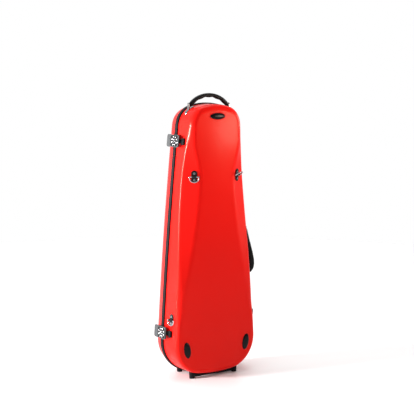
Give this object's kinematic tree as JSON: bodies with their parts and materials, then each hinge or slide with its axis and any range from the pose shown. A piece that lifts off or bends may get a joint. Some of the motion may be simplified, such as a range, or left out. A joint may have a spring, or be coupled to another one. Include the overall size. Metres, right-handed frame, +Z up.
{
  "type": "violin case",
  "caption": "Shaped hard violin case with a hinged lid, draw latches, carrying handles, strap rings and a padded interior.",
  "frame": {"origin": "middle of the bottom of the closed case's box, on the floor under its feet", "axes": "+Z up along the case, which stands on its wide end; +X across its width, towards the hinges; +Y towards the lid"},
  "size_m": [0.3194, 0.1378, 0.825],
  "materials": {
    "shell_gloss": "glossy moulded shell",
    "rim_dark": "satin rim profile",
    "black_rubber": "moulded rubber",
    "black_plastic": "satin moulded plastic",
    "latch_grey": "satin dark grey",
    "chrome": "polished",
    "steel": "brushed",
    "handle_leather": "smooth black grip",
    "plush": "short pile lining",
    "velvet": "padded velvet",
    "strap_web": "woven strap"
  },
  "bodies": {
    "base": {"base_shell": "shell_gloss", "base_rim": "rim_dark", "rim_seal": "black_rubber", "base_lining": "plush", "lower_hinge_base_leaf": "steel", "lower_hinge_pin": "steel", "upper_hinge_base_leaf": "steel", "upper_hinge_pin": "steel", "hinge_rivets_base": "steel", "upper_latch_keeper": "black_plastic", "lower_latch_keeper": "black_plastic", "upper_left_saddle": "chrome", "upper_right_saddle": "chrome", "lower_left_saddle": "chrome", "lower_right_saddle": "chrome", "saddle_screws": "chrome", "top_handle_brackets": "chrome", "top_handle_pins": "steel", "side_handle_brackets": "chrome", "side_handle_pins": "steel", "base_foot_rail": "black_rubber", "top_rest_pad": "black_rubber", "lower_rest_pads": "black_rubber", "base_padding": "velvet", "lower_body_cushion": "velvet", "upper_body_cushion": "velvet", "neck_cradle": "velvet", "neck_strap": "strap_web", "accessory_box": "black_plastic", "accessory_pin": "steel"},
    "lid": {"lid_shell": "shell_gloss", "lid_rim": "rim_dark", "lid_lining": "plush", "lid_foot_rail": "black_rubber", "bow_posts": "black_plastic", "bow_tip_pockets": "velvet", "lower_hinge_lid_leaf": "steel", "upper_hinge_lid_leaf": "steel", "hinge_rivets_lid": "steel", "upper_latch_bracket": "black_plastic", "upper_latch_pin": "steel", "lower_latch_bracket": "black_plastic", "lower_latch_pin": "steel"},
    "upper_lever": {"upper_latch_lever": "latch_grey", "upper_latch_inlay": "chrome"},
    "upper_bail": {"upper_latch_bail": "steel"},
    "lower_lever": {"lower_latch_lever": "latch_grey", "lower_latch_inlay": "chrome"},
    "lower_bail": {"lower_latch_bail": "steel"},
    "top_handle": {"top_handle_grip": "handle_leather"},
    "side_handle": {"side_handle_grip": "handle_leather"},
    "bow_spinner_l": {"bow_spinner_left": "black_plastic"},
    "bow_spinner_r": {"bow_spinner_right": "black_plastic"},
    "accessory_flap": {"accessory_lid": "velvet", "accessory_tab": "strap_web"},
    "upper_left_d_ring": {"upper_left_ring": "chrome"},
    "upper_right_d_ring": {"upper_right_ring": "chrome"},
    "lower_left_d_ring": {"lower_left_ring": "chrome"},
    "lower_right_d_ring": {"lower_right_ring": "chrome"}
  },
  "joints": [
    {"name": "lid_hinge", "type": "hinge", "parent": "base", "child": "lid", "pos_m": [0.14324, 0.0114, 0.215], "axis": [0.0774, 0, -0.997], "range_deg": [0, 105]},
    {"name": "upper_latch", "type": "hinge", "parent": "lid", "child": "upper_lever", "pos_m": [-0.10554, 0.02749, 0.69075], "axis": [-0.1006, 0, -0.9949], "range_deg": [0, 90]},
    {"name": "upper_bail_swing", "type": "hinge", "parent": "upper_lever", "child": "upper_bail", "pos_m": [-0.10522, 0.00733, 0.69071], "axis": [-0.1006, 0, -0.9949], "range_deg": [-54, 0]},
    {"name": "lower_latch", "type": "hinge", "parent": "lid", "child": "lower_lever", "pos_m": [-0.14967, 0.02744, 0.13844], "axis": [-0.0582, 0, -0.9983], "range_deg": [0, 90]},
    {"name": "lower_bail_swing", "type": "hinge", "parent": "lower_lever", "child": "lower_bail", "pos_m": [-0.14919, 0.00728, 0.13841], "axis": [-0.0582, 0, -0.9983], "range_deg": [-54, 0]},
    {"name": "upper_left_ring_swing", "type": "hinge", "parent": "base", "child": "upper_left_d_ring", "pos_m": [-0.07384, -0.05406, 0.59056], "axis": [-0.8709, 0.4914, -0.0039], "range_deg": [0, 165]},
    {"name": "upper_right_ring_swing", "type": "hinge", "parent": "base", "child": "upper_right_d_ring", "pos_m": [0.07144, -0.05406, 0.59056], "axis": [-0.8709, -0.4914, 0.0039], "range_deg": [-125, 40]},
    {"name": "lower_left_ring_swing", "type": "hinge", "parent": "base", "child": "lower_left_d_ring", "pos_m": [-0.13781, -0.02985, 0.17888], "axis": [-0.1524, 0.9883, -0.0038], "range_deg": [0, 165]},
    {"name": "lower_right_ring_swing", "type": "hinge", "parent": "base", "child": "lower_right_d_ring", "pos_m": [0.13541, -0.02985, 0.17888], "axis": [-0.1524, -0.9883, 0.0038], "range_deg": [0, 165]},
    {"name": "top_handle_fold", "type": "hinge", "parent": "base", "child": "top_handle", "pos_m": [-0.0012, -0.0096, 0.7935], "axis": [1, 0, 0], "range_deg": [-12, 42]},
    {"name": "side_handle_fold", "type": "hinge", "parent": "base", "child": "side_handle", "pos_m": [0.13291, -0.0056, 0.35356], "axis": [0.0747, 0, -0.9972], "range_deg": [-12, 60]},
    {"name": "bow_spinner_l_turn", "type": "hinge", "parent": "lid", "child": "bow_spinner_l", "pos_m": [-0.0492, 0.0471, 0.12], "axis": [0, 1, 0], "range_deg": [-90, 90]},
    {"name": "bow_spinner_r_turn", "type": "hinge", "parent": "lid", "child": "bow_spinner_r", "pos_m": [0.0468, 0.0471, 0.12], "axis": [0, 1, 0], "range_deg": [-90, 90]},
    {"name": "accessory_lid_swing", "type": "hinge", "parent": "base", "child": "accessory_flap", "pos_m": [0.0348, 0.0008, 0.554], "axis": [0, 0, 1], "range_deg": [0, 95]}
  ],
  "couplings": [
    {"joint": "upper_bail_swing", "follows": "upper_latch", "ratio": -0.6},
    {"joint": "lower_bail_swing", "follows": "lower_latch", "ratio": -0.6}
  ]
}
